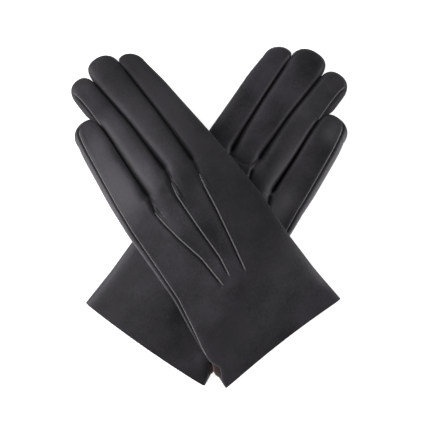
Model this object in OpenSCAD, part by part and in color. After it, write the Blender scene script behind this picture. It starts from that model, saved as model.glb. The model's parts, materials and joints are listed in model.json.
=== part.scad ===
// A pair of leather dress gloves. The right glove lies on the table, and the left one lies across it.
// Both lie back up, with the thumb folded under the palm. Each glove is drawn in its own plane: u runs
// across the hand towards the index finger, v runs from the cuff to the fingertips, and w is the height.

/* [Glove] */
// Length from the cuff edge to the tip of the middle finger
glove_l = 243; // [235:1:251]
// Width across the cuff edge
cuff_w = 104; // [99:1:107]
// Height of the open cuff
cuff_h = 13.5; // [13:0.25:15]
// Height of the hand, lying empty
hand_h = 7.6; // [7.4:0.1:8.4]
// Height of a finger, lying empty
finger_h = 8.8; // [8.4:0.1:9.4]
// Height of the folded thumb
thumb_h = 6; // [5.8:0.1:6.4]

/* [Leather] */
// Thickness of the leather
leather_t = 0.8; // [0.7:0.05:0.9]
// Thickness of the lining
lining_t = 0.4; // [0.3:0.05:0.5]
// Depth of the hem that is turned in at the cuff
hem_l = 13; // [11:1:14]
// Length of the open vent at the cuff
vent_l = 26; // [22:1:28]
// Height of the stitched points over the back
point_h = 1; // [0.8:0.1:1.4]

/* [Pose] */
// Turn of the left glove, anticlockwise
left_turn = 37.5; // [36:0.5:39]
// Turn of the right glove, clockwise
right_turn = 35; // [34:0.5:36]
// Clear height between two layers
layer_gap = 0.5; // [0.4:0.05:0.7]
// Gap between two fingers
finger_gap = 1.3; // [1.1:0.1:1.6]
// Gap at the middle knuckle, where a finger bends
knuckle_gap = 1.3; // [1.2:0.1:1.8]

/* [Hidden] */
FINGERS = ["index", "middle", "ring", "little"];

// The outlines are drawn for a glove of this length and cuff width, and scaled to the driving sizes.
drawn_l = 243;
drawn_w = 104;
hand_l = 140;
index_side = [[0, 51.4], [30, 49.4], [60, 48.8], [92, 51], [125, 50.2], [hand_l, 49.6]];
little_side = [[0, -52.6], [18, -50], [46, -47], [72, -42.5], [124, -41], [hand_l, -40]];
fork_line = [[-40, -2], [-16, -2], [4.8, 7], [25.6, 2.4], [50, -2]];
// The cuff's edge bows in on the left glove and out on the right one. The right one's fingers fan out.
cuff_dips = [["left", 1.6], ["right", -1.6]];
right_fan = 0.0014;

// One finger a row: the middle of the gap on its little side and on its index side, at the hand and where
// the tip starts to round, then v at the knuckle and at the tip, and u at the tip.
finger_rows = [
    [[28.8, 49.6], [27.8, 44.5], 186, 233.5, 32.5],
    [[8.7, 28.8], [4.6, 27.2], 191, 243, 15.5],
    [[-12.1, 8.7], [-13.6, 4.6], 186, 238.5, -4.5],
    [[-40, -12.1], [-32.5, -12.9], 172, 212, -19.5]
];
tip_l = 15;
root_gap = 0.3;
fork_fade = 30;

// The thumb: where it joins the palm, how it points towards the little finger, and its size.
thumb_root = [36, 68];
thumb_turn = 24.5;
thumb_l = 60;
thumb_w = 24;

// Where each glove's cuff lies on the table, and how the left one comes down beside the right one.
left_cuff = [52.9, -91.7];
right_cuff = [-46.1, -92.7];
drape_edges = [-30, 50];
drape_feet = [-86, 118];

black = [0.09, 0.085, 0.085];
black_sides = [0.12, 0.11, 0.11];
brown = [0.30, 0.16, 0.12];
thread_black = [0.05, 0.05, 0.05];
tiny = 0.05;
lining_in = leather_t + tiny;
panel_ease = 0.004;
hand_sides = 16;
finger_sides = 12;
flat_share = 0.07;
hand_square = 2.5;
finger_square = 2.7;

palm_lift = thumb_h + layer_gap;
cross_lift = finger_h + palm_lift + layer_gap;

// 0 below a, 1 above b, and smooth between.
function ramp(x, a, b) =
    let (t = min(1, max(0, (x - a) / (b - a))))
    t * t * (3 - 2 * t);

function power(x, p) = sign(x) * pow(abs(x), p);

function turned(p, angle) = [
    p.x * cos(angle) - p.y * sin(angle),
    p.x * sin(angle) + p.y * cos(angle)
];

// The rise of the palm over the folded thumb and over its way out.
function thumb_rise(u, v) =
    palm_lift * ramp(u, -36, -4) * ramp(v, 18, 52) * (1 - ramp(v, 136, 176));

// The rise of the left glove where it crosses the right one, at a place on the table.
function cross_rise(place) =
    let (across = -turned(place - right_cuff, right_turn).x)
    cross_lift
        * ramp(across, drape_feet[0], drape_edges[0])
        * (1 - ramp(across, drape_edges[1], drape_feet[1]));

// A point of a flat, straight glove, moved to where the glove lies.
function laid(p, hand, lifted = true) =
    let (
        w = p.z + (lifted ? thumb_rise(p.x, p.y) : 0),
        fan = hand == "right" ? 1 + right_fan * max(0, p.y - hand_l) : 1,
        dip = cuff_dips[search([hand], cuff_dips)[0]][1]
            * max(0, 1 - pow(p.x / (drawn_w / 2), 2)) * max(0, 1 - p.y / 40),
        flat = [p.x * fan * cuff_w / drawn_w, (p.y + dip) * glove_l / drawn_l],
        place = hand == "left"
            ? left_cuff + turned(flat, left_turn)
            : right_cuff + turned([-flat.x, flat.y], -right_turn)
    )
    [place.x, place.y, w + (hand == "left" ? cross_rise(place) : 0)];

function laid_rings(rings, hand, lifted = true) =
    [for (ring = rings) [for (p = ring) laid(p, hand, lifted)]];

// One ring round a flat tube: its v, its two edges, its bottom and its height. It lies flat underneath.
function ring(v, low, high, bottom, height, sides, square) = [
    for (k = [0 : sides - 1])
        let (
            angle = 360 * k / sides,
            share = (1 + power(sin(angle), 2 / square)) / 2
        )
        [
            (low + high) / 2 + (high - low) / 2 * power(cos(angle), 2 / square),
            v,
            bottom + height * max(0, share - flat_share) / (1 - flat_share)
        ]
];

// A sheet between an outer and an inner set of rings, with only the cells that are kept. A tip closes the
// last ring of both with a point.
function sheet(outer, inner, keep, tips = []) =
    let (
        rings = len(outer),
        sides = len(outer[0]),
        count = rings * sides,
        kept = function (i, k)
            i >= 0 && i < rings - 1 && keep(i, (k + sides) % sides),
        at = function (layer, i, k) layer * count + i * sides + (k + sides) % sides,
        points = concat([for (r = outer) each r], [for (r = inner) each r], tips),
        faces = [
            for (i = [0 : rings - 2], k = [0 : sides - 1])
                if (kept(i, k))
                    each concat(
                        quad(at(0, i, k), at(0, i, k + 1), at(0, i + 1, k + 1), at(0, i + 1, k), true),
                        quad(at(1, i, k), at(1, i, k + 1), at(1, i + 1, k + 1), at(1, i + 1, k), false),
                        kept(i, k - 1) ? [] :
                            quad(at(0, i, k), at(0, i + 1, k), at(1, i + 1, k), at(1, i, k), true),
                        kept(i, k + 1) ? [] :
                            quad(at(0, i, k + 1), at(0, i + 1, k + 1),
                                at(1, i + 1, k + 1), at(1, i, k + 1), false),
                        kept(i - 1, k) ? [] :
                            quad(at(0, i, k), at(0, i, k + 1), at(1, i, k + 1), at(1, i, k), false),
                        kept(i + 1, k) || (len(tips) > 0 && i == rings - 2) ? [] :
                            quad(at(0, i + 1, k), at(0, i + 1, k + 1),
                                at(1, i + 1, k + 1), at(1, i + 1, k), true)
                    )
        ],
        fans = [
            if (len(tips) > 0)
                for (k = [0 : sides - 1])
                    each [
                        [at(0, rings - 1, k), at(0, rings - 1, k + 1), 2 * count],
                        [at(1, rings - 1, k + 1), at(1, rings - 1, k), 2 * count + 1]
                    ]
        ]
    )
    [points, concat(faces, fans)];

// The same sheet, drawn in panels that part by a hair: one for each range of rows and of cells.
function panels(outer, inner, keep, row_ranges, cell_ranges) = [
    for (r = row_ranges, c = cell_ranges)
        sheet(eased(outer, r, c), eased(inner, r, c),
            function (i, k) i >= r[0] && i <= r[1] && k >= c[0] && k <= c[1] && keep(i, k))
];

// The rings, with the edges of one panel drawn in a little.
function eased(rings, rows, cells) =
    let (sides = len(rings[0]))
    [
        for (i = [0 : len(rings) - 1])
            [
                for (k = [0 : sides - 1])
                    let (
                        p = rings[i][k],
                        next_row = i == rows[0] ? i + 1 : i == rows[1] + 1 ? i - 1 : i,
                        next_cell = k == cells[0] ? k + 1 : k == (cells[1] + 1) % sides ? k - 1 : k
                    )
                    p + panel_ease * (rings[next_row][k] + rings[i][(next_cell + sides) % sides] - 2 * p)
            ]
    ];

function quad(a, b, c, d, forward) =
    forward ? [[a, b, c], [a, c, d]] : [[a, c, b], [a, d, c]];

// Several meshes as one set of points and faces.
function joined(meshes, i = 0, start = 0) =
    i == len(meshes) ? [[], []] :
    let (rest = joined(meshes, i + 1, start + len(meshes[i][0])))
    [
        concat(meshes[i][0], rest[0]),
        concat([for (f = meshes[i][1]) [for (n = f) n + start]], rest[1])
    ];

// The right glove is a mirror image, so its faces are turned over.
module body(meshes, hand) {
    mesh = joined(meshes);
    polyhedron(mesh[0], hand == "left" ? mesh[1] : [for (f = mesh[1]) [f[2], f[1], f[0]]], convexity = 6);
}

// ---- The hand ----

hem_stations = [0, hem_l];
hand_stations = [0, hem_l, vent_l, 40, 54, 68, 84, 104, 124, hand_l];

function hand_height(v) =
    lookup(v, [
        [0, cuff_h], [hem_l, cuff_h - 0.4], [30, cuff_h - 1.2], [45, 10.5], [62, hand_h], [120, hand_h],
        [hand_l, finger_h]
    ]);

// The forks lie on a curve across the hand.
function with_forks(p) =
    let (
        rise = lookup(p.x, fork_line),
        share = p.y <= hand_l ? pow(p.y / hand_l, 2) : max(0, 1 - (p.y - hand_l) / fork_fade)
    )
    [p.x, p.y + rise * share, p.z];

function hand_rings(inset, stations, hand) =
    laid_rings([
        for (v = stations)
            [
                for (p = ring(v, lookup(v, little_side) + inset, lookup(v, index_side) - inset,
                    inset, hand_height(v) - 2 * inset, hand_sides, hand_square))
                    with_forks(p)
            ]
    ], hand);

// The vent is a slit at the little-finger edge, and the thumb hole is in the palm.
function vent_cell(i, k) = i < 2 && (k == 7 || k == 8);
function thumb_hole_cell(i, k) = i == 5 && (k == 13 || k == 14);

// ---- The fingers ----

function finger_edges(f, v, inset) =
    let (
        row = finger_rows[f],
        share = min(1, max(0, (v - hand_l) / (row[3] - tip_l - hand_l))),
        gaps = row[0] * (1 - share) + row[1] * share
    )
    [
        gaps[0] + (f == 3 ? 0 : finger_gap / 2) + inset,
        gaps[1] - (f == 0 ? 0 : finger_gap / 2) - inset
    ];

function finger_ring(f, v, inset) =
    let (edges = finger_edges(f, v, inset))
    [
        for (p = ring(v, edges[0], edges[1], inset, finger_h - 2 * inset, finger_sides, finger_square))
            with_forks(p)
    ];

// A share x of the way from the last full ring to the tip, where the finger rounds off.
function tip_ring(f, x, inset) =
    let (
        row = finger_rows[f],
        start = row[3] - tip_l,
        size = pow(1 - pow(x, 2.3), 1 / 2.3),
        edges = finger_edges(f, start, inset),
        middle = (edges[0] + edges[1]) / 2 * (1 - x * x) + row[4] * x * x,
        half = (edges[1] - edges[0]) / 2 * size,
        height = (finger_h - 2 * inset) * (0.35 + 0.65 * size)
    )
    ring(start + (tip_l - inset) * x, middle - half, middle + half, (finger_h - height) / 2 * 0.7, height,
        finger_sides, finger_square);

function finger_root_rings(f, inset, hand) =
    let (knuckle = finger_rows[f][2] - knuckle_gap)
    laid_rings([
        for (v = [hand_l + root_gap, hand_l + 12, (hand_l + 12 + knuckle) / 2, knuckle])
            finger_ring(f, v, inset)
    ], hand);

tip_shares = [0.5, 0.8, 0.95];

function finger_tip_rings(f, inset, hand) =
    let (
        knuckle = finger_rows[f][2],
        start = finger_rows[f][3] - tip_l
    )
    laid_rings(concat(
        [for (v = [knuckle, (knuckle + start) / 2, start]) finger_ring(f, v, inset)],
        [for (x = tip_shares) tip_ring(f, x, inset)]
    ), hand);

function finger_point(f, inset, hand) =
    laid([finger_rows[f][4], finger_rows[f][3] - inset, finger_h * 0.42], hand);

// Which cells of a finger are sides: those that face another finger.
function index_side_cell(k) = k == 11 || k == 0;
function little_side_cell(k) = k == 5 || k == 6;
function side_cell(f, k) = (f > 0 && index_side_cell(k)) || (f < 3 && little_side_cell(k));

// ---- The pieces ----

// The panels of the trank, as ranges of stations along it and of cells round it.
hand_rows = [[0, 1], [2, 3], [4, 5], [6, 8]];
hand_cells = [for (k = [0 : 2 : hand_sides - 2]) [k, k + 1]];
root_rows = [[0, 2]];
root_cells = [[0, 0], [1, 4], [5, 5], [6, 6], [7, 10], [11, 11]];

module trank(hand) {
    hand_part = panels(hand_rings(0, hand_stations, hand), hand_rings(leather_t, hand_stations, hand),
        function (i, k) !vent_cell(i, k) && !thumb_hole_cell(i, k), hand_rows, hand_cells);
    finger_parts = [
        for (f = [0 : 3])
            each panels(finger_root_rings(f, 0, hand), finger_root_rings(f, leather_t, hand),
                function (i, k) !side_cell(f, k), root_rows, root_cells)
    ];
    color(black) body(concat(hand_part, finger_parts), hand);
}

module hand_lining(hand) {
    stations = [for (i = [1 : len(hand_stations) - 1]) hand_stations[i]];
    thick = lining_in + lining_t;
    hand_part = sheet(hand_rings(lining_in, stations, hand), hand_rings(thick, stations, hand),
        function (i, k) !vent_cell(i + 1, k) && !thumb_hole_cell(i + 1, k));
    finger_parts = [
        for (f = [0 : 3])
            sheet(finger_root_rings(f, lining_in, hand), finger_root_rings(f, thick, hand),
                function (i, k) true)
    ];
    color(brown) body(concat([hand_part], finger_parts), hand);
}

module cuff_hem(hand) {
    color(black)
        body([
            sheet(hand_rings(lining_in, hem_stations, hand),
                hand_rings(lining_in + leather_t, hem_stations, hand),
                function (i, k) !vent_cell(i, k))
        ], hand);
}

// A ridge along a line on the glove: width at the foot, height at the crest, and the line's points.
function ridge(line, width, height, hand) =
    let (
        rings = [
            for (i = [0 : len(line) - 1])
                let (
                    ahead = line[min(i + 1, len(line) - 1)] - line[max(i - 1, 0)],
                    side = [ahead.y, -ahead.x, 0] / norm([ahead.x, ahead.y]) * width / 2
                )
                [line[i] - side, line[i] + [0, 0, height], line[i] + side]
        ],
        laid_line = laid_rings(rings, hand),
        count = len(line),
        at = function (i, k) i * 3 + k % 3,
        faces = [
            for (i = [0 : count - 2], k = [0 : 2])
                each quad(at(i, k), at(i + 1, k), at(i + 1, k + 1), at(i, k + 1), true)
        ]
    )
    [
        [for (r = laid_line) each r],
        concat([[0, 1, 2]], [[2, 1, 0] + [1, 1, 1] * 3 * (count - 1)], faces)
    ];

// Each point runs from near its fork towards the middle of the hand.
point_rows = [
    [[26, 128], [20.5, 104], [14.5, 80], [9.8, 58]],
    [[5, 132], [2.8, 104], [1.8, 80], [0, 62]],
    [[-16, 126], [-13, 104], [-9.2, 80], [-8, 60]]
];
point_w = 1.8;
point_rise = 0.2;

function hand_top(u, v) =
    let (
        low = lookup(v, little_side),
        high = lookup(v, index_side),
        across = (u - (low + high) / 2) / ((high - low) / 2)
    )
    hand_height(v) / 2 * (1 + pow(1 - pow(abs(across), hand_square), 1 / hand_square));

module point(hand, f) {
    line = [
        for (p = point_rows[f])
            with_forks([p.x, p.y, hand_top(p.x, p.y) + point_rise])
    ];
    color(black_sides) body([ridge(line, point_w, point_h, hand)], hand);
}

seam_w = 1.2;

// The seam is a low ridge that stands out from the little-finger edge.
module side_seam(hand) {
    line = [
        for (v = [vent_l + 4, 48, 72, 96, 120, hand_l])
            with_forks([lookup(v, little_side) - seam_w / 2 - 3 * tiny, v, hand_height(v) / 2 - seam_w / 3])
    ];
    color(thread_black) body([ridge(line, seam_w, seam_w * 0.7, hand)], hand);
}

// The strips on both sides of one fork, and the web that joins them in a V.
module fourchette(hand, f) {
    index_strip = sheet(finger_root_rings(f, 0, hand), finger_root_rings(f, leather_t, hand),
        function (i, k) little_side_cell(k));
    little_strip = sheet(finger_root_rings(f + 1, 0, hand), finger_root_rings(f + 1, leather_t, hand),
        function (i, k) index_side_cell(k));
    low = finger_edges(f + 1, hand_l, 0)[1];
    high = finger_edges(f, hand_l, 0)[0];
    web = [
        for (v = [hand_l + tiny, hand_l + leather_t])
            [
                for (p = [[low + tiny, v, finger_h * 0.3], [high - tiny, v, finger_h * 0.3],
                    [high - tiny, v, finger_h * 0.7], [low + tiny, v, finger_h * 0.7]])
                    with_forks(p)
            ]
    ];
    laid_web = laid_rings(web, hand);
    web_mesh = [
        [for (r = laid_web) each r],
        concat(
            quad(0, 1, 2, 3, false),
            quad(4, 5, 6, 7, true),
            [for (k = [0 : 3]) each quad(k, (k + 1) % 4, (k + 1) % 4 + 4, k + 4, true)]
        )
    ];
    color(black_sides) body([index_strip, little_strip, web_mesh], hand);
}

module finger_tip(hand, f) {
    color(black)
        body([
            sheet(finger_tip_rings(f, 0, hand), finger_tip_rings(f, leather_t, hand),
                function (i, k) i > 2 || !side_cell(f, k),
                [finger_point(f, 0, hand), finger_point(f, leather_t, hand)])
        ], hand);
}

module finger_tip_sides(hand, f) {
    color(black_sides)
        body([
            sheet(finger_tip_rings(f, 0, hand), finger_tip_rings(f, leather_t, hand),
                function (i, k) i <= 2 && side_cell(f, k))
        ], hand);
}

module finger_tip_lining(hand, f) {
    thick = lining_in + lining_t;
    color(brown)
        body([
            sheet(finger_tip_rings(f, lining_in, hand), finger_tip_rings(f, thick, hand),
                function (i, k) true,
                [finger_point(f, lining_in, hand), finger_point(f, thick, hand)])
        ], hand);
}

// ---- The thumb ----

thumb_stations = [[0, 0.9], [0.15, 1], [0.5, 1], [0.76, 0.98], [0.88, 0.84], [0.96, 0.58]];

function thumb_place(across, along, w) =
    let (p = turned([across, along], thumb_turn))
    [thumb_root.x + p.x, thumb_root.y + p.y, w];

function thumb_rings(inset, hand) =
    laid_rings([
        for (s = thumb_stations)
            let (
                half = thumb_w / 2 * s[1] - inset,
                height = (thumb_h - 2 * inset) * (0.4 + 0.6 * s[1])
            )
            [
                for (p = ring(0, -half, half, (thumb_h - height) / 2, height, finger_sides, finger_square))
                    thumb_place(p.x, s[0] * (thumb_l - inset), p.z)
            ]
    ], hand, false);

function thumb_point(inset, hand) = laid(thumb_place(0, thumb_l - inset, thumb_h / 2), hand, false);

module thumb(hand) {
    color(black)
        body([
            sheet(thumb_rings(0, hand), thumb_rings(leather_t, hand), function (i, k) true,
                [thumb_point(0, hand), thumb_point(leather_t, hand)])
        ], hand);
}

module thumb_lining(hand) {
    thick = lining_in + lining_t;
    color(brown)
        body([
            sheet(thumb_rings(lining_in, hand), thumb_rings(thick, hand), function (i, k) true,
                [thumb_point(lining_in, hand), thumb_point(thick, hand)])
        ], hand);
}

for (hand = ["right", "left"]) {
    trank(hand);
    hand_lining(hand);
    cuff_hem(hand);
    side_seam(hand);
    thumb(hand);
    thumb_lining(hand);
    for (f = [0 : 2]) {
        point(hand, f);
        fourchette(hand, f);
    }
    for (f = [0 : 3]) {
        finger_tip(hand, f);
        finger_tip_sides(hand, f);
        finger_tip_lining(hand, f);
    }
}
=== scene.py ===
import json
import math

import bpy
import numpy as np
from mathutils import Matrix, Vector, bvhtree, kdtree


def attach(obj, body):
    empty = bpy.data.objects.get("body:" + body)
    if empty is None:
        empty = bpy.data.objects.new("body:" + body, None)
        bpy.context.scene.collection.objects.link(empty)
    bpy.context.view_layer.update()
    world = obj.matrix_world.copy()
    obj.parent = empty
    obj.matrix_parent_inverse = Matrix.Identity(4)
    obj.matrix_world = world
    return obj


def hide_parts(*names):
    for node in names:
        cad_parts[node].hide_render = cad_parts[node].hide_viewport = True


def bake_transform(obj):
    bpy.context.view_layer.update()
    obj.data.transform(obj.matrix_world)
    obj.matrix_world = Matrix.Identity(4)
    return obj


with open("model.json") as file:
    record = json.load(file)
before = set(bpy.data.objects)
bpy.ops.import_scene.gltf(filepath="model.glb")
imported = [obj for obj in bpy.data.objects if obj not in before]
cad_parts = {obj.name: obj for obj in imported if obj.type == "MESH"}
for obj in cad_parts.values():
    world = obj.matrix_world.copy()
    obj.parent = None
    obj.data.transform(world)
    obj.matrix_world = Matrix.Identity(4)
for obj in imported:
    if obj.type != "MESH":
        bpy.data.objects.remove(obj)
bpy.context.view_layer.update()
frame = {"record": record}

# ---- How the pair lies ----
# Two mirror-image gloves, each drawn flat and straight in millimetres: u across the hand towards the index
# finger, v from the cuff to the fingertips, w up. The right one lies on the table, the left one across it.
MM = 0.001
HANDS = ["right", "left"]
FINGERS = ["index", "middle", "ring", "little"]
JOINTS = {j["name"]: j for j in frame["record"]["behaviour"]["joints"]}
# The places of the knuckle joints on the flat glove, from the index finger to the little one.
knuckle_v = [186, 191, 186, 172]
knuckle_u = [37.2, 17.3, -3.2, -24.1]
# The hand's length, how much the right glove's fingers fan out for each millimetre beyond it, and how far
# each cuff's edge bows.
hand_l = 140
right_fan = 0.0014
cuff_dip = 1.6


def ramp(x, a, b):
    t = np.clip((np.asarray(x, float) - a) / (b - a), 0, 1)
    return t * t * (3 - 2 * t)


def hump(x, middle, width):
    return np.exp(-(((np.asarray(x, float) - middle) / width) ** 2))


def curve(*points, soft=5):
    """A soft line through a few (v, value) points."""
    v, value = np.array(points, float).T
    fine = np.arange(-30, 290, 1.0)
    reach = np.arange(-15, 16)
    weight = np.exp(-((reach / soft) ** 2))
    padded = np.interp(np.arange(-45, 305, 1.0), v, value)
    smooth = np.convolve(padded, weight / weight.sum(), "valid")
    return lambda x: np.interp(x, fine, smooth)


class Lie:
    """Where one glove lies: its directions across and along on the table, and the middle of its cuff."""

    def __init__(self, hand):
        bends = [JOINTS[f"{hand}_{f}_bend"] for f in FINGERS]
        self.hand = hand
        turn = 1 if hand == "left" else -1
        self.across = -turn * np.array(bends[0]["axis"][:2], float)
        self.along = turn * np.array([-self.across[1], self.across[0]])
        places = [np.array(bend["pos_m"][:2]) / MM for bend in bends]
        self.cuff = np.zeros(2)
        self.cuff = np.mean([p - self.place(u, v) for p, u, v in zip(places, knuckle_u, knuckle_v)], axis=0)

    def flat(self, places):
        """How far across the glove some places on the table are."""
        return places @ self.across - self.cuff @ self.across

    def bowed(self, u, v):
        """The right glove's fingers fan out, and each cuff's edge bows a little."""
        fan = 1 + (right_fan * np.maximum(0, v - hand_l) if self.hand == "right" else 0)
        dip = cuff_dip if self.hand == "left" else -cuff_dip
        return u * fan, v + dip * np.maximum(0, 1 - (u / 52) ** 2) * np.maximum(0, 1 - v / 40)

    def place(self, u, v):
        u, v = self.bowed(np.asarray(u, float), np.asarray(v, float))
        return self.cuff + u[..., None] * self.across + v[..., None] * self.along


LIES = {hand: Lie(hand) for hand in HANDS}
palm_lift = 6.5
cross_lift = JOINTS["left_thumb_swing"]["pos_m"][2] / MM - 3


def thumb_rise(u, v):
    """The palm lies over its own folded thumb."""
    return palm_lift * ramp(u, -36, -4) * ramp(v, 18, 52) * (1 - ramp(v, 136, 176))


# The height of an empty glove from the cuff up, and how much higher the middle of each back is.
hand_height = curve((0, 10.5), (14, 10.2), (40, 9), (62, 7.8), (118, 7.8), (142, 8.8), (250, 8.8))
CROWN = {"left": 2.4, "right": 0.8}


def back_rise(u, v, hand):
    """The back comes down more gently than the palm, and is a little higher along its middle."""
    drape = palm_lift * ramp(u, -38, 2) * ramp(v, 12, 60) * (1 - ramp(v, 100, 215))
    crown = CROWN[hand] * (1 - (u / 54) ** 2) * ramp(v, 10, 50) * (1 - ramp(v, 170, 225))
    return drape + crown


def laid(points, hand, lifted=True):
    """Flat glove points, in millimetres, as they lie on the table, in metres."""
    points = np.asarray(points, float)
    u, v, w = points[..., 0], points[..., 1], points[..., 2]
    place = LIES[hand].place(u, v)
    high = w
    if lifted:
        share = np.clip(w / hand_height(v), 0, 1)
        high = w + (1 - share) * thumb_rise(u, v) + share * back_rise(u, v, hand)
    if hand == "left":
        other = LIES["right"].flat(place)
        high = high + cross_lift * ramp(other, -86, -30) * (1 - ramp(other, 50, 118))
    return np.concatenate([place, high[..., None]], axis=-1) * MM


# Points closer than this, in metres, become one.
merge_within = 2e-6


def quads_of(grids):
    """The four corners of every face, for grids of points that are numbered on from one to the next."""
    faces, start = [], 0
    for grid in grids:
        rows, columns = grid.shape[:2]
        n = start + np.arange(rows * columns).reshape(rows, columns)
        faces.append(np.stack([n[:-1, :-1], n[:-1, 1:], n[1:, 1:], n[1:, :-1]], axis=-1).reshape(-1, 4))
        start += rows * columns
    return np.concatenate(faces)


def mesh_piece(name, grids, hand, material, flip=False, painted_shading_grids=None):
    """One mesh from grids of points in metres. Points that fall together become one.

    Its float attribute is above 0 where shade is painted in, darkening the leather, and below 0 where a
    painted highlight lightens it.
    """
    points = np.concatenate([g.reshape(-1, 3) for g in grids])
    faces = quads_of(grids)
    keys, back = np.unique(np.round(points / merge_within).astype(np.int64), axis=0, return_inverse=True)
    first = np.zeros(len(keys), int)
    first[back.ravel()[::-1]] = np.arange(len(points))[::-1]
    points, faces = points[first], back.ravel()[faces]
    if (hand == "right") != flip:
        faces = faces[:, ::-1]
    faces = [list(dict.fromkeys(f)) for f in faces.tolist()]
    faces = [f for f in faces if len(f) > 2]
    data = bpy.data.meshes.new(name)
    data.from_pydata(points.tolist(), [], faces)
    if painted_shading_grids is not None:
        painted_shading_value = np.concatenate([np.ravel(g) for g in painted_shading_grids])[first]
        data.attributes.new("painted_shading", "FLOAT", "POINT").data.foreach_set("value", painted_shading_value.astype(np.float32))
    data.polygons.foreach_set("use_smooth", [True] * len(data.polygons))
    data.materials.append(material)
    piece = bpy.data.objects.new(name, data)
    bpy.context.collection.objects.link(piece)
    return piece


# ---- Leather, thread and lining ----
# Black nappa with a fine grain and a soft sheen, a brushed brown lining, and silk thread, grey rather than
# black so that it also paints a highlight along its ribs.
class Field:
    """A shader value that Python's operators work on."""

    def __init__(self, tree, socket):
        self.tree, self.socket = tree, socket

    def math(self, operation, *others):
        node = self.tree.nodes.new("ShaderNodeMath")
        node.operation = operation
        for place, value in zip(node.inputs, (self,) + others):
            if isinstance(value, Field):
                self.tree.links.new(value.socket, place)
            else:
                place.default_value = value
        return Field(self.tree, node.outputs[0])

    def __add__(self, other):
        return self.math("ADD", other)

    def __sub__(self, other):
        return self.math("SUBTRACT", other)

    def __mul__(self, other):
        return self.math("MULTIPLY", other)

    def __rsub__(self, other):
        return (self * -1) + other

    __radd__ = __add__
    __rmul__ = __mul__


class Surface:
    """One material, built from noise fields."""

    def __init__(self, name):
        self.material = bpy.data.materials.new(name)
        self.material.use_nodes = True
        self.tree = self.material.node_tree
        self.shader = self.tree.nodes["Principled BSDF"]
        self.place = self.node("ShaderNodeTexCoord", {}, {}, "Object")

    def node(self, kind, settings, inputs, output=0):
        node = self.tree.nodes.new(kind)
        for key, value in settings.items():
            setattr(node, key, value)
        for key, value in inputs.items():
            if isinstance(value, Field):
                self.tree.links.new(value.socket, node.inputs[key])
            else:
                node.inputs[key].default_value = value
        return Field(self.tree, node.outputs[output])

    def noise(self, size_mm, detail=3.0, roughness=0.5):
        return self.node(
            "ShaderNodeTexNoise", {},
            {"Vector": self.place, "Scale": 1 / (size_mm * MM), "Detail": detail, "Roughness": roughness},
        )

    def cell_edges(self, size_mm):
        return self.node(
            "ShaderNodeTexVoronoi", {"feature": "DISTANCE_TO_EDGE"},
            {"Vector": self.place, "Scale": 1 / (size_mm * MM)},
        )

    def mix(self, factor, a, b):
        """Mixes two colours, each a tuple or a field."""
        a, b = ((*colour, 1) if isinstance(colour, tuple) else colour for colour in (a, b))
        return self.node("ShaderNodeMix", {"data_type": "RGBA"}, {0: factor, 6: a, 7: b}, 2)

    def bump(self, height, distance_mm, strength, under=None):
        inputs = {"Height": height, "Distance": distance_mm * MM, "Strength": strength}
        if under is not None:
            inputs["Normal"] = under
        return self.node("ShaderNodeBump", {}, inputs)

    def finish(self, links, values):
        for key, field in links.items():
            self.tree.links.new(field.socket, self.shader.inputs[key])
        for key, value in values.items():
            self.shader.inputs[key].default_value = value
        return self.material


def leather(name, dark, light, rough):
    """Dyed leather, mottled, grained and softly creased, made near black by painted shade in grooves and
    gaps and paler by painted highlight in places.
    """
    s = Surface(name)
    mottle = s.noise(30, 4)
    # The mesh's float attribute carries painted light: above 0 it is painted shade, below 0 painted
    # highlight.
    painted_shading_value = s.node("ShaderNodeAttribute", {"attribute_name": "painted_shading"}, {}, "Fac")
    painted_shading = painted_shading_value.math("MAXIMUM", 0)
    painted_highlight = (painted_shading_value * -1).math("MAXIMUM", 0)
    fine = s.noise(1.7, 3, 0.6)
    grain = s.cell_edges(0.55)
    pores = s.noise(0.9, 2, 0.6)
    creases = s.noise(5, 5, 0.6)
    height = grain.math("MINIMUM", 0.18) * 3 + pores * 0.5
    soft = s.bump(creases, 0.35, 0.5)
    dye = s.mix(mottle * 3 - 1.5 + fine, dark, light)
    # A pale grey painted highlight and a near-black painted shade are mixed into the dye; the painted shade
    # also makes it rougher.
    dye_with_painted_highlight = s.mix(painted_highlight, dye, (0.16, 0.155, 0.165))
    return s.finish(
        {
            "Base Color": s.mix(painted_shading, dye_with_painted_highlight, (0.001, 0.001, 0.001)),
            "Roughness": rough + 0.2 * (mottle - 0.5) + 0.08 * (pores - 0.5) + 0.5 * painted_shading,
            "Normal": s.bump(height, 0.035, 0.6, soft),
        },
        {"Specular IOR Level": 0.42, "Specular Tint": (0.96, 0.92, 1.0, 1), "Sheen Weight": 0.04,
         "Sheen Roughness": 0.4},
    )


def woven(name, dark, light, pitch, rough):
    """A napped cloth or a thread, with a soft sheen."""
    s = Surface(name)
    nap = s.noise(pitch, 4, 0.7)
    patch = s.noise(9, 3)
    return s.finish(
        {
            "Base Color": s.mix(nap * 0.9 + patch * 0.5 - 0.2, dark, light),
            "Roughness": rough + 0.1 * (patch - 0.5),
            "Normal": s.bump(nap, 0.25, 0.8),
        },
        {"Sheen Weight": 0.5, "Sheen Roughness": 0.5},
    )


black = leather("black_nappa", (0.0060, 0.0057, 0.0068), (0.0300, 0.0280, 0.0330), 0.5)
black_sides = leather("black_nappa_sides", (0.0080, 0.0075, 0.0090), (0.0240, 0.0222, 0.0262), 0.52)
# Silk thread, partly painted highlight: its grey stands in for the light along the ribs.
silk = woven("silk_thread_with_painted_highlight", (0.06, 0.058, 0.06), (0.15, 0.145, 0.15), 0.35, 0.4)
brown = woven("brown_lining", (0.016, 0.0035, 0.003), (0.046, 0.010, 0.009), 0.6, 0.85)
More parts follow.
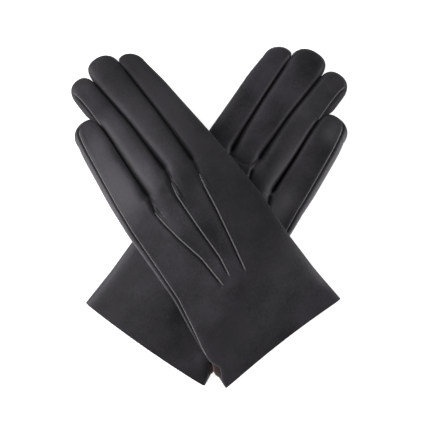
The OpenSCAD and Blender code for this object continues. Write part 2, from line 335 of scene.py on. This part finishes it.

# ---- Trank ----
# One piece of leather, folded round the index side, is the hand and the back and front of each finger. It
# is cut here at the fingers' middle knuckles into the hand and each finger's end.

# The lines between the fingers, and the outline on both sides: u as it runs up the glove.
edge = [
    curve(
        (0, 51.4), (30, 49.4), (60, 48.8), (92, 51), (125, 50.2), (153, 48.8), (183, 47), (200, 46.2),
        (222, 43.3),
    ),
    curve((60, 24), (100, 26), (140, 27.4), (165, 28.6), (190, 29), (234, 28.6)),
    curve((60, 3), (100, 6), (146, 8.4), (190, 8.2), (235, 5)),
    curve(
        (60, -14), (100, -13.2), (142, -12.2), (170, -11), (190, -9.6), (202, -9.4), (212, -13.8),
        (232, -14), soft=3,
    ),
    curve(
        (0, -52.6), (18, -50), (46, -47), (72, -42.8), (124, -41), (154, -38.6), (192, -33.6), (207, -29.6),
    ),
]
# Where the fingers part on each of those lines, and where each finger's tip is.
FORKS = {"left": [None, 140, 146.5, 138.5, None], "right": [None, 146.5, 153, 139, None]}
tip_v = {"left": np.array([232.8, 242.6, 238.3, 212]), "right": np.array([231.0, 240.8, 237.5, 211.5])}
tip_u = [32.5, 15.5, -3.6, -19]
tip_l = 13
finger_overlap = 0.04
vent_l, vent_gap = 30, 3.5
rows_hand = np.unique(np.concatenate([np.arange(0, 158, 1.5), sum(FORKS.values(), [])]).astype(float))
rows_hand = rows_hand[~np.isnan(rows_hand)]


def power(x, p):
    return np.sign(x) * np.abs(x) ** p


# Each cross-section is a squared-off oval. The side strips reach this angle above and below its middle.
SQUARE = 3.4
side = 30
side_x = power(math.cos(math.radians(side)), 2 / SQUARE)


def rows_of(hand, f):
    """The rows of a finger, from the cuff, closer together towards its round tip."""
    start = tip_v[hand][f] - tip_l
    round_rows = start + tip_l * np.sin(np.linspace(0, np.pi / 2, 16)[1:])
    return np.concatenate([rows_hand, np.linspace(rows_hand[-1], start, 38)[1:], round_rows])


def strip(hand, f, angles, v, inset=0.0):
    """Points of finger f and the hand below it, at these angles round it: 0 is the index side, 90 is up."""
    v = v[:, None]
    angle = np.radians(angles)[None, :]
    share = np.clip((v - (tip_v[hand][f] - tip_l)) / tip_l, 0, 1)
    size = np.maximum(1 - share ** 2.4, 0) ** (1 / 2.4)
    v_full = np.minimum(v, tip_v[hand][f] - tip_l)
    low = edge[f + 1](v_full) - (0 if f == 3 else finger_overlap / 2)
    high = edge[f](v_full) + (0 if f == 0 else finger_overlap / 2)
    middle = (low + high) / 2 * (1 - share ** 2) + tip_u[f] * share ** 2
    half = (high - low) / 2 * size
    full = hand_height(v)
    height = full * (0.32 + 0.68 * size)
    x, y = power(np.cos(angle), 2 / SQUARE), power(np.sin(angle), 2 / SQUARE)
    u = middle + (half - inset * size) * x
    w = (full - height) * 0.35 + height / 2 + (height / 2 - inset) * y
    # The vent gapes: the leather stands up and away at the little-finger edge, and the lining stays back.
    if f == 3:
        open_vent = hump(v, 14, 5.5) * (v < vent_l) * ramp(-x, -0.1, 1) * (y >= 0)
        if inset < 1:
            u = u + vent_gap * open_vent
            w = w + 1.3 * open_vent
        else:
            u = u - 2.6 * hump(v, 13, 5) * ramp(-x, 0.2, 1)
    # Below its fork, a finger's top and under side run on flat into its neighbour's.
    for facing, line in ((1, f), (-1, f + 1)):
        fork = FORKS[hand][line]
        if fork is None:
            continue
        near = np.clip(x * facing / side_x, 0, 1)
        spread = 1 - ramp(v, fork, fork + 4)
        flat = 1 - ramp(v, fork - 30, fork + 1)
        goal = edge[line](v_full)
        u = u + spread * np.where(near < 1, near ** 2 * (goal - middle - half * side_x * facing), goal - u)
        on_top = np.sign(y)
        flat_w = height / 2 + on_top * (height / 2 - inset)
        w = w + (near > 0) * (np.abs(y) > 0.4) * flat * (flat_w - w)
        w = w - on_top * (np.abs(y) > 0.4) * near ** 4 * 0.2 * height * hump(v, fork + 3, 11)
    return np.stack([u, v + 0 * u, w], axis=-1)


def line_distance(u, v, line):
    """Distance to a line of points, its sign by the side, and the share of its length."""
    best = np.full(np.shape(u), 1e9)
    sign, where = np.zeros_like(best), np.zeros_like(best)
    line = np.array(line, float)
    total = np.linalg.norm(np.diff(line, axis=0), axis=1).sum()
    done = 0
    for a, b in zip(line[:-1], line[1:]):
        d = b - a
        length = np.linalg.norm(d)
        t = np.clip(((u - a[0]) * d[0] + (v - a[1]) * d[1]) / length ** 2, 0, 1)
        du, dv = u - a[0] - t * d[0], v - a[1] - t * d[1]
        r = np.hypot(du, dv)
        closer = r < best
        best = np.where(closer, r, best)
        sign = np.where(closer, np.sign(d[0] * dv - d[1] * du), sign)
        where = np.where(closer, (done + t * length) / total, where)
        done += length
    return best, sign, where


# Each point starts at its fork as a loose fold, and is stitched from the second place on.
POINTS = [
    [(27.4, 140), (25.2, 131), (23.2, 122.5), (20.1, 104), (14.5, 78), (9.8, 57.5)],
    [(8.4, 146.5), (6, 138), (3.9, 128), (2.6, 104), (1.6, 76), (-1, 62)],
    [(-12.4, 138.5), (-15.6, 129), (-15, 119.5), (-12.9, 103.5), (-9, 83), (-8.4, 59)],
]
# The lower glove's middle finger has a cross seam at its base, from fork to fork.
BASE_SEAM = [(28.2, 146.5), (23, 144.8), (16.1, 145.4), (10.6, 148), (8.8, 152.5)]
# The side seam runs just inside the outline, from the vent to the tip of the little finger.
seam_inset = [
    (27, 0.8), (36, 1.6), (50, 3.0), (70, 3.8), (95, 4.2), (125, 4.7), (150, 5.2), (175, 5.4), (192, 5.2),
    (200, 4.8), (206, 5), (208.5, 6.4),
]
SEAM = [(edge[4](v) + inset, v) for v, inset in seam_inset]
# The ring finger's outer seam shows on top beyond the little finger's tip.
RING_SEAM = [(-9.2, 200), (-8.9, 208), (-8.8, 216), (-9.2, 226), (-10.6, 232.5)]
rng = np.random.default_rng(7)
# Waves of many lengths, in millimetres, each with a phase, a direction and a shift.
WAVES = [
    (rng.uniform(0, 2 * np.pi), rng.normal(0, 1, 2) / length, rng.uniform(0, 2 * np.pi), length)
    for length in (38, 30, 24, 19, 15, 12, 9, 7)
]
SEEDS = {"left": 1.0, "right": 2.6}


def undulation(u, v, seed):
    """Slow, uneven swells of soft leather, about one unit high."""
    total = np.zeros(np.shape(u))
    for i, (phase, direction, shift, length) in enumerate(WAVES):
        total = total + (length / 38) ** 1.7 * np.sin(
            direction[0] * u + direction[1] * v + phase + seed * (i + 1) * 1.7
            + 0.8 * np.sin(v / (length * 1.3) + shift + seed)
        )
    return total / 2.2


def relief(u, v, hand):
    """The folds, swells and seams of the back: the change in height, and how much painted shade darkens the
    grooves there.
    """
    seed = SEEDS[hand]
    # Slow swells: strong over the hand, slight along the fingers.
    change = 0.45 * undulation(u, v, seed) * ramp(v, -10, 30) * (1 - 0.8 * ramp(v, 115, 150))
    change = change + 0.1 * undulation(u * 1.3, v * 1.8, seed + 3) * ramp(v, 150, 175)
    painted_shading = np.zeros(np.shape(u))
    # The points: a loose fold at the fork, then a stitched tuck with a dent beside it, both darkened by
    # painted shade.
    for line, deep in zip(POINTS, (0.35, 0.9, 0.9)):
        r, sign, share = line_distance(u, v, line)
        r = sign * r
        fold = ramp(share, 0.0, 0.02) * (1 - ramp(share, 0.13, 0.26))
        swell = 0.45 * hump(r, 2.2, 1.5) + 0.25 * hump(r, -2.8, 2)
        change = change - fold * (1.1 * hump(r, 0, 0.9) - swell)
        painted_shading = np.maximum(painted_shading, deep * fold * hump(r, 0, 0.9))
        stitched = ramp(share, 0.16, 0.24) * (1 - ramp(share, 0.93, 1.0))
        dents = 0.8 * hump(r, -1.1, 0.7) + 0.1 * hump(r, 1.2, 0.8)
        change = change - stitched * (dents - 0.4 * hump(r, 0, 5))
        painted_shading = np.maximum(painted_shading, 0.8 * stitched * hump(r, -0.95, 0.6))
    # The two edge seams, each with a dent beside it darkened by painted shade.
    r, sign, share = line_distance(u, v, SEAM)
    r = sign * r
    change = change - ramp(share, 0, 0.1) * (0.5 * hump(r, 1.0, 0.7) - 0.12 * hump(r, -1.5, 1.2))
    painted_shading = np.maximum(painted_shading, 0.8 * ramp(share, 0, 0.1) * hump(r, 0.95, 0.55))
    r, sign, share = line_distance(u, v, RING_SEAM)
    r = sign * r
    within = ramp(share, 0, 0.15) * (1 - ramp(share, 0.85, 1))
    change = change - within * 0.5 * hump(r, 1.0, 0.7)
    painted_shading = np.maximum(painted_shading, 0.7 * within * hump(r, 0.95, 0.5))
    # The lower glove swells at the base of its outer fingers, beside its cross seam, which painted shade
    # darkens.
    if hand == "right":
        change = change + 1.6 * hump(u, -8, 9) * hump(v, 138, 32) + 1.0 * hump(u, -22, 8) * hump(v, 128, 20)
        r, sign, share = line_distance(u, v, BASE_SEAM)
        within = ramp(share, 0, 0.06) * (1 - ramp(share, 0.94, 1))
        change = change - within * (0.5 * hump(r, 0, 0.7) - 0.35 * hump(sign * r, 2.0, 1.4))
        painted_shading = np.maximum(painted_shading, 0.6 * within * hump(r, 0, 0.6))
    return change, painted_shading


def softened(points, hand):
    points = points.copy()
    points[..., 2] += relief(points[..., 0], points[..., 1], hand)[0]
    return points


# The angles of the points round a finger, spread evenly across its width.
even = np.linspace(0, np.pi, 54)
across_x = side_x * np.linspace(-1, 1, 54) * 0.8 - 0.2 * side_x * np.cos(even)
ACROSS = np.degrees(np.arccos(power(across_x, SQUARE / 2)))
TOP = [
    np.concatenate([ACROSS, np.linspace(side, 0, 7)[1:]]),
    ACROSS,
    ACROSS,
    np.concatenate([np.linspace(180, 180 - side, 7)[:-1], ACROSS]),
]
UNDER = [
    np.concatenate([np.linspace(0, -side, 7)[:-1], np.linspace(-side, side - 180, 18)]),
    np.linspace(-side, side - 180, 18),
    np.linspace(-side, side - 180, 18),
    np.concatenate([np.linspace(-side, side - 180, 18), np.linspace(side - 180, -180, 7)[1:]]),
]


def seam_rib(points, angles, hand, f, v):
    """A sewn edge stands up a little, with a dent beside it.

    It runs up each finger edge that meets a side strip, and up the outer edge of the little finger.
    """
    out = points.copy()
    steps = np.linalg.norm(np.diff(points, axis=1), axis=-1)
    along = np.concatenate([np.zeros((len(v), 1)), np.cumsum(steps, axis=1)], axis=1)
    for angle, line in ((side, f), (180 - side, f + 1)):
        at = int(np.argmin(np.abs(angles - angle)))
        fork = FORKS[hand][line]
        if line == 0:
            continue
        strength = ramp(v, fork, fork + 8) if fork is not None else ramp(v, 18, 30)
        r = np.abs(along - along[:, at:at + 1])
        rise = 0.16 * hump(r, 0, 0.4) - 0.12 * hump(r, 1.1, 0.6)
        out[..., 2] += strength[:, None] * rise
    return out


def between(hand, line, v):
    """1 where two fingers lie side by side along a gap, from their fork to the shorter one's tip."""
    fork = FORKS[hand][line]
    if fork is None:
        return 0 * v
    shorter = min(tip_v[hand][line - 1:line + 1])
    return ramp(v, fork - 0.5, fork + 2) * (1 - ramp(v, shorter - 14, shorter - 4))


# How much painted highlight lightens the leather outside the side seam, for the light on its rim.
PAINTED_RIM_HIGHLIGHT = {"left": 0.45, "right": 0.9}


def painted_light_and_shade(hand, u, v):
    """Painted shade and painted highlight in places: shade on the upper glove towards its index side and at
    its cuff's little-finger side, highlights on the lower glove at the bases and tips of its ring and
    little fingers and at its cuff's index side.
    """
    if hand == "left":
        return 0.45 * ramp(u, 2, 30) * ramp(v, 20, 80) + 0.35 * hump(u, -28, 12) * hump(v, 32, 20)
    knuckles = 0.3 * hump(u, -8.5, 5) * hump(v, 150, 26) + 0.3 * hump(u, -22, 7) * hump(v, 130, 18)
    tips = 0.12 * hump(u, -1, 9) * hump(v, 205, 24) + 0.24 * hump(u, -21, 7) * hump(v, 199, 9)
    return -knuckles - tips - 0.08 * ramp(u, -10, 30) * (1 - ramp(v, 50, 90))


def backs(hand):
    """The top and under sides of the trank, one pair of grids a finger, and the painted shade and highlight
    at each point.
    """
    grids, painted_shading_grids = [], []
    for f in range(4):
        v = rows_of(hand, f)
        plain = strip(hand, f, TOP[f], v)
        top = seam_rib(softened(plain, hand), TOP[f], hand, f, v)
        calm = np.clip((top[..., 2:3] / hand_height(v)[:, None, None] - 0.5) / 0.25, 0, 1)
        top = calm * top + (1 - calm) * plain
        grids.append((top, strip(hand, f, UNDER[f], v)))
        # Painted shade: the grooves of the seams and folds, then each gap between two fingers, are
        # darkened.
        dark = relief(plain[..., 0], v[:, None], hand)[1] * calm[..., 0]
        for angle, line in ((side, f), (180 - side, f + 1)):
            at = int(np.argmin(np.abs(TOP[f] - angle)))
            r = np.abs(plain[..., 0] - plain[:, at:at + 1, 0])
            width = 0.6 + 0.7 * hump(v, (FORKS[hand][line] or 0) + 12, 20)[:, None]
            dark = np.maximum(dark, 0.94 * between(hand, line, v)[:, None] * hump(r / width, 0, 1))
        # Broad patches of painted shade and painted highlight.
        dark = dark + painted_light_and_shade(hand, plain[..., 0], v[:, None]) * (1 - dark)
        # Painted highlight: the leather outside the little finger's side seam is made paler.
        if f == 3:
            seam_u = np.interp(v, *np.array(SEAM)[:, ::-1].T)[:, None]
            along = (ramp(v, 30, 60) * (1 - ramp(v, 200, 210)))[:, None]
            dark = dark - PAINTED_RIM_HIGHLIGHT[hand] * ramp(seam_u - 1.2 - plain[..., 0], 0, 3) * along
        painted_shading_grids.append((dark, 0 * grids[-1][1][..., 0]))
    return grids, painted_shading_grids


def normals_of(whole):
    """The normals of the whole skin, and a tree that finds the nearest one to a place."""
    tree = kdtree.KDTree(len(whole.data.vertices))
    for vertex in whole.data.vertices:
        tree.insert(vertex.co, vertex.index)
    tree.balance()
    return tree, [tuple(vertex.normal) for vertex in whole.data.vertices]


def shade_as(piece, tree, normals):
    """The piece takes its normals from the whole skin, so the cut between two pieces doesn't show."""
    nearest = [tree.find(vertex.co)[1] for vertex in piece.data.vertices]
    piece.data.normals_split_custom_set_from_vertices([normals[index] for index in nearest])


bend_l = 11


def cut_row(hand, f):
    """The row where a finger's end parts from the hand, a little before its bend begins."""
    return int(np.argmin(np.abs(rows_of(hand, f) - (knuckle_v[f] - bend_l - 2))))


def bent(piece, hand, f):
    """Bakes the piece's place into its mesh. The ends of its bend at the knuckle are found but not used."""
    lie = LIES[hand]
    start, end = (lie.place(knuckle_u[f], knuckle_v[f] + d) * MM for d in (-bend_l, bend_l))
    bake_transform(piece)


flat_skins = {}
for hand in HANDS:
    grids, painted_shading_grids = backs(hand)
    flat_skins[hand] = grids
    everything = [laid(g, hand) for pair in grids for g in pair]
    whole = mesh_piece("whole", everything, hand, black)
    tree, normals = normals_of(whole)
    hand_grids, hand_painted_shading = [], []
    for f in range(4):
        cut = cut_row(hand, f)
        hand_grids += [laid(g[:cut + 1], hand) for g in grids[f]]
        hand_painted_shading += [g[:cut + 1] for g in painted_shading_grids[f]]
        finger = mesh_piece(f"{hand}_{FINGERS[f]}_finger_leather", [laid(g[cut:], hand) for g in grids[f]],
                            hand, black, painted_shading_grids=[g[cut:] for g in painted_shading_grids[f]])
        shade_as(finger, tree, normals)
        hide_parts(f"{hand}_{FINGERS[f]}_tip")
        bent(finger, hand, f)
    palm = mesh_piece(f"{hand}_hand_leather", hand_grids, hand, black, painted_shading_grids=hand_painted_shading)
    shade_as(palm, tree, normals)
    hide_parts(f"{hand}_trank")
    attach(palm, f"{hand}_hand")
    bpy.data.objects.remove(whole)

# ---- Fourchettes ----
# Narrow strips are sewn in as the sides of the fingers. Two of them meet in a V at each fork.
SIDES = {1: np.linspace(side, -side, 9), -1: np.linspace(180 + side, 180 - side, 9)}
for hand in HANDS:
    for f in range(3):
        base, base_painted_shading = [], []
        for finger, facing in ((f, -1), (f + 1, 1)):
            v = rows_of(hand, finger)
            start = int(np.argmin(np.abs(v - FORKS[hand][f + 1])))
            cut = cut_row(hand, finger)
            points = strip(hand, finger, SIDES[facing], v)
            # Painted shade darkens the finger sides along each gap between two fingers.
            dark = 0.94 * between(hand, f + 1, v)[:, None] + 0 * points[..., 0]
            base.append(laid(points[start:cut + 1], hand))
            base_painted_shading.append(dark[start:cut + 1])
            name = f"{hand}_{FINGERS[finger]}_side_{'a' if facing < 0 else 'b'}"
            end = mesh_piece(name, [laid(points[cut:], hand)], hand, black_sides, painted_shading_grids=[dark[cut:]])
            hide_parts(f"{hand}_{FINGERS[finger]}_tip_sides")
            bent(end, hand, finger)
        fork = f"{hand}_{FINGERS[f]}_{FINGERS[f + 1]}"
        piece = mesh_piece(f"{fork}_sides", base, hand, black_sides, painted_shading_grids=base_painted_shading)
        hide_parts(f"{fork}_fourchette")
        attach(piece, f"{hand}_hand")

# ---- Points ----
# Three tucks are stitched into the back with silk. Each stands up as a fine rib.
def on_top(hand):
    """Finds the height of the back of the flat glove at any place, for what lies on it."""
    tops = [top for top, under in flat_skins[hand]]
    points = np.concatenate([top.reshape(-1, 3) for top in tops])
    tree = bvhtree.BVHTree.FromPolygons(points.tolist(), quads_of(tops).tolist())

    def height(u, v):
        place = tree.ray_cast(Vector((u, v, 60)), Vector((0, 0, -1)))[0]
        return 0 if place is None else place.z
    return height


def walked(line, step):
    """Points along a line at equal steps, softened at its corners, and how far along each one is."""
    line = np.array(line, float)
    lengths = np.concatenate([[0], np.cumsum(np.linalg.norm(np.diff(line, axis=0), axis=1))])
    reached = np.arange(0, lengths[-1], step)
    path = np.stack([np.interp(reached, lengths, line[:, i]) for i in range(2)], axis=-1)
    for turn in range(12):
        path[1:-1] = (path[:-2] + 2 * path[1:-1] + path[2:]) / 4
    return path, reached


def rib(name, line, hand, width, height, stitch, material, tops):
    """A rib that lies on the back along a line, pinched by a stitch at each step."""
    path, reached = walked(line, 0.45)
    ahead = np.gradient(path, axis=0)
    side_way = np.stack([ahead[:, 1], -ahead[:, 0]], axis=-1)
    side_way /= np.linalg.norm(side_way, axis=1)[:, None]
    end = np.minimum(1, np.minimum(reached, reached[-1] - reached) / 2.5)
    pinch = 1 - 0.4 * np.abs(np.cos(np.pi * reached / stitch)) ** 10
    grid = []
    for i, place in enumerate(path):
        row = []
        for x in np.linspace(-1, 1, 9):
            at = place + side_way[i] * x * width / 2 * (0.5 + 0.5 * end[i])
            rise = height * end[i] * pinch[i] * math.sqrt(max(0, 1 - x * x)) - 0.08
            row.append([*at, tops(*at) + rise])
        grid.append(row)
    return mesh_piece(name, [laid(np.array(grid), hand)], hand, material, flip=True)


for hand in HANDS:
    tops = on_top(hand)
    for f in range(3):
        piece = rib(f"{hand}_{FINGERS[f]}_point_rib", POINTS[f][1:], hand, 0.95, 0.8, 2.0, silk, tops)
        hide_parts(f"{hand}_{FINGERS[f]}_point")
        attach(piece, f"{hand}_hand")

# ---- Side seam ----
# The trank's two edges are sewn together along the little-finger side, from the vent to the fingertip.
for hand in HANDS:
    tops = on_top(hand)
    piece = rib(f"{hand}_side_seam_rib", SEAM, hand, 0.75, 0.4, 2.2, silk, tops)
    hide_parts(f"{hand}_side_seam")
    bent(piece, hand, 3)
    piece = rib(f"{hand}_ring_edge_rib", RING_SEAM, hand, 0.6, 0.35, 2.2, silk, tops)
    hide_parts(f"{hand}_ring_tip_sides")
    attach(piece, f"{hand}_ring_finger")

# ---- Lining and cuff hem ----
# Brushed brown fabric lines the hand and the fingers. At the cuff the leather is turned in over its edge.
def inner(hand, f, angles, v, inset):
    """The lining follows the leather a little way inside it."""
    points = strip(hand, f, angles, v, inset)
    soft = softened(points, hand)
    calm = ramp(points[..., 2:3] / hand_height(v)[:, None, None], 0.45, 0.75)
    return calm * soft + (1 - calm) * points


hem_l = 7
# The leather's turned edge at the cuff: how far it drops past the cuff line, and how far in it is.
ROLL = [(0, 0), (0.25, 0.07), (0.42, 0.25), (0.48, 0.45), (0.42, 0.65), (0.25, 0.83)]
for hand in HANDS:
    hand_grids, hem_grids = [], []
    for f in range(4):
        v = rows_of(hand, f)
        cut = cut_row(hand, f)
        tube = laid(inner(hand, f, np.linspace(0, 360, 41), v[cut:], 1.2), hand)
        tip = mesh_piece(f"{hand}_{FINGERS[f]}_finger_lining", [tube], hand, brown)
        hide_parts(f"{hand}_{FINGERS[f]}_tip_lining")
        bent(tip, hand, f)
        first = int(np.argmin(np.abs(v - hem_l + 1)))
        for angles in (TOP[f], UNDER[f]):
            hand_grids.append(laid(inner(hand, f, angles, v[first:cut + 1], 1.3), hand))
            rows = [inner(hand, f, angles, np.array([-drop]), inset) for drop, inset in ROLL]
            rows.append(inner(hand, f, angles, v[:first + 2], 0.9))
            hem_grids.append(laid(np.concatenate(rows), hand))
    lining = mesh_piece(f"{hand}_hand_lining_cloth", hand_grids, hand, brown)
    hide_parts(f"{hand}_hand_lining")
    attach(lining, f"{hand}_hand")
    hem = mesh_piece(f"{hand}_turned_hem", hem_grids, hand, black_sides)
    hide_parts(f"{hand}_cuff_hem")
    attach(hem, f"{hand}_hand")

# ---- Thumb ----
# A separate piece of leather set into the palm, folded under the hand, with its own lining.
thumb_root = np.array([36, 68.0])
thumb_turn = math.radians(24.5)
thumb_l, thumb_w, thumb_h = 60, 24, 6
thumb_straight = 0.76


def thumb_grid(inset):
    """A flat tube from the palm to the thumb's round tip."""
    rounding = 1 - thumb_straight
    tip_shares = thumb_straight + rounding * np.sin(np.linspace(0, np.pi / 2, 14)[1:])
    share = np.concatenate([np.linspace(0, thumb_straight, 26), tip_shares])[:, None]
    past = np.maximum((share - thumb_straight) / rounding, 0)
    size = np.maximum(1 - past ** 2.3, 0) ** (1 / 2.3)
    angle = np.linspace(0, 2 * np.pi, 49)[None, :]
    across = (thumb_w / 2 - inset) * size * power(np.cos(angle), 2 / SQUARE)
    height = thumb_h * (0.4 + 0.6 * size)
    w = thumb_h / 2 + (height / 2 - inset) * power(np.sin(angle), 2 / SQUARE)
    along = share * (thumb_l - inset)
    u = thumb_root[0] + across * math.cos(thumb_turn) - along * math.sin(thumb_turn)
    v = thumb_root[1] + across * math.sin(thumb_turn) + along * math.cos(thumb_turn)
    return np.stack([u, v, w], axis=-1)


for hand in HANDS:
    for name, inset, material, node, slot in (
        ("thumb_leather", 0, black, "thumb", "leather"),
        ("thumb_lining_cloth", 1, brown, "thumb_lining", "lining"),
    ):
        tube = laid(thumb_grid(inset), hand, False)
        piece = mesh_piece(f"{hand}_{name}", [tube], hand, material, flip=True)
        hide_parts(f"{hand}_{node}")
        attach(piece, f"{hand}_thumb")

# ---- Table, light and camera ----
# A softly lit white table that glows a little, so that the gloves cast no shadow on it. A large lamp stands
# on the left, weaker ones on the right and behind, and a low one at the front left.
def lamp(name, place, size, power_w):
    """A soft rectangular lamp that faces the gloves."""
    data = bpy.data.lights.new(name, "AREA")
    data.shape = "RECTANGLE"
    data.size, data.size_y = size
    data.energy = power_w
    light = bpy.data.objects.new(name, data)
    light.location = place
    light.rotation_euler = (-Vector(place)).to_track_quat("-Z", "Y").to_euler()
    bpy.context.collection.objects.link(light)


bpy.ops.mesh.primitive_plane_add(size=6, location=(0, 0, -0.2 * MM))
floor = bpy.context.object
floor.name = "table"
paper = Surface("white_table")
speck = paper.noise(40, 3)
floor.data.materials.append(paper.finish(
    {"Base Color": paper.mix(speck, (0.86, 0.86, 0.86), (0.9, 0.9, 0.9))},
    {"Roughness": 0.8, "Emission Color": (1, 1, 1, 1), "Emission Strength": 0.85}))

lamp("left_lamp", (-0.62, 0.1, 0.5), (0.45, 0.7), 6)
lamp("right_lamp", (0.72, 0.0, 0.30), (0.4, 0.5), 2.8)
lamp("back_lamp", (-0.1, 0.9, 0.6), (0.9, 0.4), 1.6)
lamp("low_left_lamp", (-0.6, -0.46, 0.15), (0.5, 0.16), 1.3)

world = bpy.data.worlds.new("studio")
world.use_nodes = True
world.node_tree.nodes["Background"].inputs[0].default_value = (1, 1, 1, 1)
world.node_tree.nodes["Background"].inputs[1].default_value = 0.11
bpy.context.scene.world = world

# The camera looks straight down, and sees a square of this width.
view_w = 0.31
camera = bpy.data.objects.new("camera", bpy.data.cameras.new("camera"))
camera.data.lens = 85
camera.location = (0.004, -0.001, view_w / camera.data.sensor_width * camera.data.lens)
camera.rotation_euler = (0, 0, 0)
bpy.context.collection.objects.link(camera)
bpy.context.scene.camera = camera
bpy.context.scene.view_settings.view_transform = "Standard"
